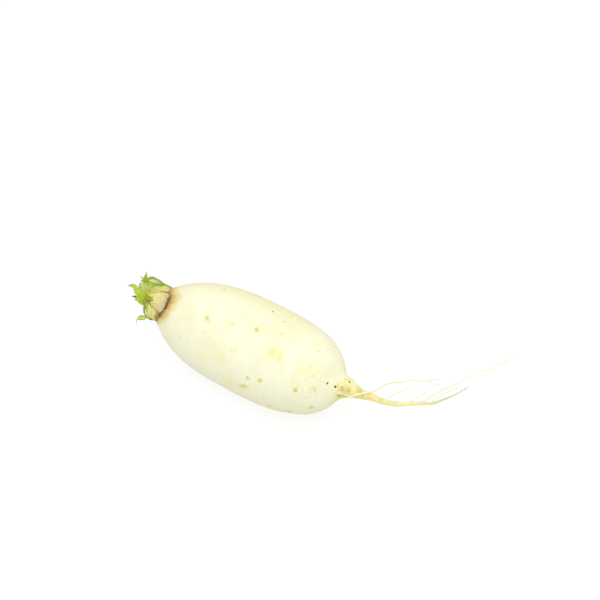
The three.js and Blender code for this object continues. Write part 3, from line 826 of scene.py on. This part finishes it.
def leaf_tissue(name, face, rim, vein, back, stalk, stalk_end):
    """Young leaf, thin and faintly waxy: another shade at its rims, veins and back, and along its stalk."""
    material, tree = bare_material(name)
    place = add(tree, "ShaderNodeTexCoord").outputs["Object"]
    grown = add(tree, "ShaderNodeAttribute", attribute_name="grain").outputs["Vector"]
    parts = add(tree, "ShaderNodeSeparateXYZ", {0: grown})
    across = add(tree, "ShaderNodeMath", {0: parts.outputs["X"]}, operation="ABSOLUTE")
    cloud = add(tree, "ShaderNodeTexNoise", {"Vector": place, "Scale": 1 / (2.6 * MM), "Detail": 4})
    mottle = add(tree, "ShaderNodeMath", {0: cloud, 1: 0.7, 2: across}, operation="MULTIPLY_ADD")
    edge = add(tree, "ShaderNodeMapRange", {0: mottle, 1: 0.84, 2: 1.12}, **SMOOTH)
    blade = add(tree, "ShaderNodeMix", {0: edge, 6: face, 7: rim}, **COLOUR)
    rib = add(tree, "ShaderNodeMapRange", {0: across, 1: 0.22, 2: 0.08, 3: 0, 4: 0.5})
    blade = add(tree, "ShaderNodeMix", {0: rib, 6: blade, 7: vein}, **COLOUR)
    # Side veins leave the rib at a slant, a few millimetres apart.
    veins = add(tree, "ShaderNodeMath", {0: across, 1: -2.2, 2: parts.outputs["Z"]},
                operation="MULTIPLY_ADD")
    veins = add(tree, "ShaderNodeMath", {0: veins, 1: 1.7}, operation="PINGPONG")
    veins = add(tree, "ShaderNodeMapRange", {0: veins, 1: 0.3, 2: 0, 3: 0, 4: 0.4})
    blade = add(tree, "ShaderNodeMix", {0: veins, 6: blade, 7: vein}, **COLOUR)
    under = add(tree, "ShaderNodeMapRange", {0: parts.outputs["Y"], 1: 0.0, 2: -0.1, 3: 0, 4: 0.85})
    blade = add(tree, "ShaderNodeMix", {0: under, 6: blade, 7: back}, **COLOUR)
    reach = add(tree, "ShaderNodeMath", {0: parts.outputs["X"], 1: -1.5, 2: parts.outputs["Z"]},
                operation="MULTIPLY_ADD")
    reach = add(tree, "ShaderNodeMath", {0: cloud, 1: 3.0, 2: reach}, operation="MULTIPLY_ADD")
    low = add(tree, "ShaderNodeMapRange", {0: reach, 1: stalk_end + 3, 2: stalk_end}, **SMOOTH)
    blade = add(tree, "ShaderNodeMix", {0: low, 6: blade, 7: stalk}, **COLOUR)
    relief = add(tree, "ShaderNodeBump", {"Height": cloud, "Strength": 0.4, "Distance": 0.2 * MM})
    relief = add(tree, "ShaderNodeBump",
                 {"Height": veins, "Normal": relief, "Strength": 0.5, "Distance": 0.15 * MM})
    shader = add(tree, "ShaderNodeBsdfPrincipled", {
        "Base Color": blade,
        "Roughness": 0.48,
        "IOR": 1.42,
        "Subsurface Weight": 0.2,
        "Subsurface Radius": (0.6, 1.0, 0.2),
        "Subsurface Scale": 0.8 * MM,
        "Normal": relief,
    })
    add(tree, "ShaderNodeOutputMaterial", {0: shader})
    return material


# Each blade is a list of places (height, towards the underside, towards the bright side) and a list of
# widths (distance along, half width). The first is the leaf, and the others are its side leaflets, or thin
# stalks bent beside it. cup bends the sides up, ruffle waves the edges and teeth cut them. tissue is what
# leaf_tissue takes after its name.
leaves = {
    "broad_leaf": dict(
        blades=[
            ([(5, 0.8, 0.6), (8, 1.4, 1.6), (10.5, 2.2, 3.4), (12.8, 3, 5), (15.2, 2.6, 6.8),
              (17.6, 0.9, 7.8), (20.6, -0.7, 7.8), (23, -2.3, 7), (25.4, -1.9, 6), (27.4, -0.6, 5)],
             [(0, 1), (3.2, 1.2), (6.2, 2.2), (9.2, 3.7), (12.4, 4.1), (15.6, 2.9), (18.9, 2.1),
              (21.9, 1.6), (24.5, 1.1), (27.2, 0.15)]),
            ([(7.6, 1, 12.9), (9.4, 0.9, 13), (11.4, 0.9, 12.7), (13.3, 0.6, 11.7), (14.4, 0.4, 10.2),
              (14, 1.2, 7.8), (11.8, 1.9, 5.8), (8.6, 2, 4.2)],
             [(0, 0.2), (1.8, 0.9), (3.8, 1.8), (6, 2.5), (8, 2.8), (10.4, 2.8), (13.4, 1.6), (16.6, 0.9)]),
        ],
        cup=-0.04, ruffle=0.3, teeth=0.16, thick=0.4,
        # The olive at the foot of its stalk is partly the stalk's own colour and partly painted shade deep
        # in the crown.
        tissue=("B4C634", "B8CC48", "C8D556", "5E7A1E", "98980A", 6.6),
    ),
    "arched_leaf": dict(
        blades=[
            ([(-1.4, -11.2, -1.4), (2, -11.7, 0), (5, -11.6, 1.2), (7.4, -11, 2.4), (9.6, -11, 3),
              (12.1, -11.2, 3.3), (15, -10.9, 3.4), (17, -10, 3), (18.5, -8.6, 2.6)],
             [(0, 0.7), (4, 0.7), (6.6, 0.9), (9.4, 1.6), (11.6, 2.2), (14.2, 2.3), (17, 2.3), (19.2, 1.5),
              (21.4, 0.2)]),
            ([(16.6, -7.6, 2.6), (17.6, -9.6, 4), (16.6, -11.4, 4.4), (14.3, -12.5, 4.4), (12, -12.7, 4.2)],
             [(0, 0.45), (5, 0.45), (9.7, 0.42)]),
            ([(3.6, -11.5, 3), (6.6, -12, 3.6), (9.4, -12.5, 4), (12.6, -12.7, 4.2)],
             [(0, 0.3), (4, 0.4), (9.4, 0.42)]),
        ],
        cup=0.22, ruffle=0.1, teeth=0.05, thick=0.55,
        tissue=("E4E2B4", "929C10", "CDD486", "8FAE2A", "A6B238", 11),
    ),
    "tufted_leaf": dict(
        blades=[
            ([(7, -1.4, -0.4), (11.6, -3.2, -0.4), (15, -6, 0.4), (18.4, -9, 1.6), (20, -12.2, 1.4),
              (20.9, -14.6, 1)],
             [(0, 0.7), (6, 0.8), (11, 1.4), (14.5, 0.9), (18, 0.12)]),
            ([(16.4, -7, 1), (19, -9, 2.2), (23.3, -9.7, 1.8)], [(0, 0.6), (3, 0.9), (7.4, 0.12)]),
            ([(16.4, -7.2, 1), (18.6, -9.6, 2.4), (18.8, -12.4, 2.6)], [(0, 0.6), (2.8, 0.9), (6, 0.12)]),
            ([(16.6, -7, 1.4), (19.2, -7.8, 2.6), (22.2, -7.7, 2.6)], [(0, 0.6), (2.8, 1), (6, 0.12)]),
            ([(16.4, -7.4, 1), (19, -9.9, 1.8), (21.4, -11.4, 1)], [(0, 0.6), (3, 0.8), (6, 0.12)]),
            ([(17.6, -9, 2.6), (16, -8.9, 4), (14.6, -9.1, 4.6), (12.2, -9.6, 5), (9.8, -10.4, 4.8),
              (7.6, -11.4, 4)],
             [(0, 0.5), (4.5, 0.6), (11, 0.45)]),
        ],
        cup=0.1, ruffle=0.2, teeth=0.2, thick=0.35,
        tissue=("9CB82A", "86A61E", "B2C64A", "7FA226", "9EB634", 3),
    ),
    "pale_leaf": dict(
        blades=[
            ([(7.4, -1.4, 1.6), (10.4, -3.6, 3.2), (13.4, -4.9, 4.4), (16.4, -4.7, 5.2), (19, -4.8, 5.2),
              (21.2, -6.4, 4.4)],
             [(0, 1), (3, 3.2), (6.5, 4.4), (9.6, 4), (12.3, 2.7), (15, 0.15)]),
            ([(9, -1.2, 4.4), (12.5, -1.8, 6.2), (15.6, -2.3, 7), (18.4, -2.8, 7.4)],
             [(0, 1), (4, 1.8), (7.4, 2), (10.2, 0.8)]),
            ([(6.5, -4.4, 2), (9, -6.8, 3.4), (11.4, -8.2, 4.4), (13.6, -8.8, 4.6), (15.4, -8.6, 4.2)],
             [(0, 0.8), (3, 1.5), (6, 1.8), (8.6, 1.4), (11, 0.4)]),
        ],
        cup=0.1, ruffle=0.25, teeth=0.2, thick=0.45,
        tissue=("C2CC68", "A9BE42", "D3DA84", "A9BC60", "CCCE58", 5.5),
    ),
    "curled_leaf": dict(
        blades=[
            ([(-0.6, 10.9, -1.6), (2, 12.1, -0.4), (4.8, 13, 0.8), (7.2, 12.8, 1.6), (9.3, 14.1, 2),
              (11.2, 15.2, 1.9), (12.9, 16.4, 1.6)],
             [(0, 0.5), (3, 0.55), (6, 0.6), (8.6, 0.75), (11.1, 1.6), (13.2, 1.6), (15.2, 0.3)]),
            ([(12, 15.8, 1.6), (12.6, 17.6, 1.5), (11.6, 19.6, 1)], [(0, 0.3), (2, 0.2), (4.6, 0.1)]),
        ],
        cup=0.25, ruffle=0.25, teeth=0.15, thick=0.4,
        tissue=("C8D468", "82A41E", "D8E288", "8FB040", "7C901A", 7.5),
    ),
    "drooping_leaf": dict(
        blades=[(
            [(6.6, 1.4, 6.8), (9, 2.1, 8), (10.4, 3.4, 8.2), (11.2, 5.2, 7), (11.3, 7.2, 5.4),
             (10.7, 9.2, 4.6), (9.6, 10.9, 4.4), (7.8, 12.3, 3.6)],
            [(0, 0.9), (4, 0.9), (10, 0.8), (14, 0.4)],
        )],
        cup=0.1, ruffle=0.05, teeth=0.05, thick=0.6,
        tissue=("94B236", "7E9E28", "B2CA50", "82A42A", "8CAA2C", 0),
    ),
    "back_leaf_1": dict(
        blades=[
            ([(7, 2.4, -1.6), (12, 4, -1), (16, 4.2, 0.6), (19.6, 3.7, 1.6), (22.4, 4.6, 2)],
             [(0, 0.7), (6, 1.1), (10, 1.4), (13, 1), (16, 0.15)]),
            ([(14, 4.4, 0), (17, 4.9, 1.4), (20, 5.9, 1.6)], [(0, 0.6), (3, 0.9), (6, 0.12)]),
        ],
        cup=0.15, ruffle=0.2, teeth=0.3, thick=0.35,
        tissue=("5E7A2A", "4C661E", "7E9A44", "5E7A2A", "A6BC50", 4),
    ),
    "back_leaf_2": dict(
        blades=[(
            [(7, -0.8, -3), (12, -1.4, -5.4), (16, -2.6, -8), (19, -4.6, -10)],
            [(0, 0.7), (5, 1.3), (9, 2.2), (14, 0.2)],
        )],
        cup=0.15, ruffle=0.3, teeth=0.3, thick=0.35,
        tissue=("9CBC3E", "86A834", "C2D474", "9DB85A", "B7CA5C", 4),
    ),
    "back_leaf_3": dict(
        blades=[(
            [(7, 1.4, -2), (10.8, 2.4, -3.4), (13, 4, -6), (14.6, 5.6, -8.2), (15.4, 7, -9.6)],
            [(0, 0.7), (5, 1.2), (8, 2), (12, 0.2)],
        )],
        cup=0.15, ruffle=0.3, teeth=0.3, thick=0.35,
        tissue=("A3BF45", "88A834", "C8D87C", "9DB85A", "B9CA60", 4),
    ),
}

for number, (name, leaf) in enumerate(leaves.items()):
    bm = bmesh.new()
    for places, widths in leaf["blades"]:
        route = Route([crown_point(*place) for place in places], towards_top)
        stretch = route.length / widths[-1][0]
        width = Outline([(along * stretch, half) for along, half in widths])

        # A thin lens that is thicker along its rib. Where the blade is wide, its edges are cut and ruffled.
        def leaf_section(along, turn):
            half = width.at(along)
            blade = fade(half, 0.8, 1.8)
            bite = abs((along / TOOTH_SPACING) % 1 - 0.35)
            half *= 1 - blade * leaf["teeth"] * bite - 0.12 * ripple((along / 1.5, number * 5, 0), 1)
            side = half * math.sin(turn)
            thick = leaf["thick"] * (1 + 0.6 * (1 - blade)) * min(half, 1)
            out = thick * math.cos(turn) * (0.55 + 0.45 * math.exp(-side ** 2 * 3))
            out += leaf["cup"] * side ** 2 + 0.25 * ripple((side / 2, along / 3, number * 5), 1) * blade
            edge = math.sin(turn) ** 2 * blade
            out += leaf["ruffle"] * edge * math.sin(along * 2.1 + (2 if side > 0 else 0) + number)
            return side, out

        grow(bm, route, even_rows(0, route.length, LEAF_STEP), LEAF_SIDES, leaf_section)
    piece = make_piece(f"young_{name}", bm, leaf_tissue(name.replace("_", " "), *leaf["tissue"]))
    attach(piece, "root")
    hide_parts(name)

# ---- Side roots
# Fine fibres that leave the taproot and trail beside it: pale, tough and a little kinked, each thinning to
# a hair. The longest one forks.
FIBRE_SIDES = 12
FIBRE_STEP = 0.45
fork_place = (99.8, 51.1, 8.6)
# Radius at the start and the end, and the places that the fibre runs through, for each branch.
side_roots = {
    "side_root_1": [
        (0.9, 0.34, [
            (73, 2.4, 30.4), (75.6, 1.7, 33.1), (78.2, 4.9, 32.5), (80.6, 9.8, 30.3), (82.6, 14.4, 28.3),
            (85.7, 25.2, 25), (91, 34.6, 20), (94.8, 43.7, 14.5), fork_place, (104.8, 62.2, 2.2),
        ]),
        (0.4, 0.25, [fork_place, (103, 53.4, 6.4), (108.7, 56.5, 3.5)]),
    ],
    "side_root_2": [(0.5, 0.25, [(88.4, 15.6, 19.6), (90.6, 22, 20), (93.1, 31, 15.8), (97.4, 48.6, 7)])],
    "side_root_3": [
        (0.7, 0.3, [
            (104.6, 32.4, 9.2), (107.8, 38, 9), (113.2, 50.9, 9), (119, 61.5, 8), (121, 68.6, 7),
            (124.4, 76.9, 5.5), (129.6, 85.7, 3.6), (133.3, 93.8, 2), (139, 105.7, 0.8),
        ]),
    ],
    "side_root_4": [
        (0.6, 0.3, [(75, 4, 30.4), (75, -2.4, 35.6), (73, -5, 37.4), (69.6, -6, 39.6), (67, -7.4, 40)]),
    ],
    "side_root_5": [
        (0.45, 0.25, [(99.6, 26.4, 12.2), (101.4, 34, 9.4), (102, 40.2, 6.4), (105.7, 52.9, 3)]),
    ],
    "side_root_6": [(0.45, 0.25, [(111, 39.4, 5.8), (112, 45, 4.6), (114, 51.5, 3.6), (119, 62, 2.6)])],
}

# Root fibre, air-dried: straw-cream and matt, with darker lengthwise lines.
material, tree = bare_material("dried root fibre")
place = add(tree, "ShaderNodeTexCoord").outputs["Object"]
grown = add(tree, "ShaderNodeAttribute", attribute_name="grain").outputs["Vector"]
lines = add(tree, "ShaderNodeMapping", {"Vector": grown, "Scale": (2.5, 2.5, 0.5)})
lines = add(tree, "ShaderNodeTexNoise", {"Vector": lines, "Scale": 1.0, "Detail": 3})
shade = add(tree, "ShaderNodeTexNoise", {"Vector": place, "Scale": 1 / (7 * MM), "Detail": 3})
fibre = add(tree, "ShaderNodeValToRGB", {0: shade}, [(0.35, "FDFADC"), (0.58, "F9F4CC"), (0.78, "E4D8A4")])
dark = add(tree, "ShaderNodeMapRange", {0: lines, 1: 0.55, 2: 0.8, 3: 0, 4: 0.35})
fibre = add(tree, "ShaderNodeMix", {0: dark, 6: fibre, 7: "DDD09A"}, **COLOUR)
relief = add(tree, "ShaderNodeBump", {"Height": lines, "Strength": 0.5, "Distance": 0.1 * MM})
shader = add(tree, "ShaderNodeBsdfPrincipled",
             {"Base Color": fibre, "Roughness": 0.6, "IOR": 1.45, "Normal": relief})
add(tree, "ShaderNodeOutputMaterial", {0: shader})

for number, (name, branches) in enumerate(side_roots.items(), 1):
    bm = bmesh.new()
    for thick, thin, places in branches:
        route = Route(places, (0, 0, 1))

        # A fibre thins fast and then slowly, and kinks once it is clear of the taproot.
        def fibre_section(along, turn):
            share = along / route.length
            radius = thin + (thick - thin) * (1 - share) ** 1.6
            radius *= 1 + 0.18 * ripple((along / 1.8, number * 9, 0), 1)
            kink = 0.6 * fade(share, 0, 0.15)
            side = kink * ripple((along / 5, number * 9, 3), 1)
            out = kink * 0.5 * ripple((along / 5, number * 9, 6), 1)
            return side + radius * math.sin(turn), out + radius * math.cos(turn)

        grow(bm, route, even_rows(0, route.length, FIBRE_STEP), FIBRE_SIDES, fibre_section)
    piece = make_piece(f"root_fibre_{number}", bm, material)
    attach(piece, "root")
    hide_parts(name)
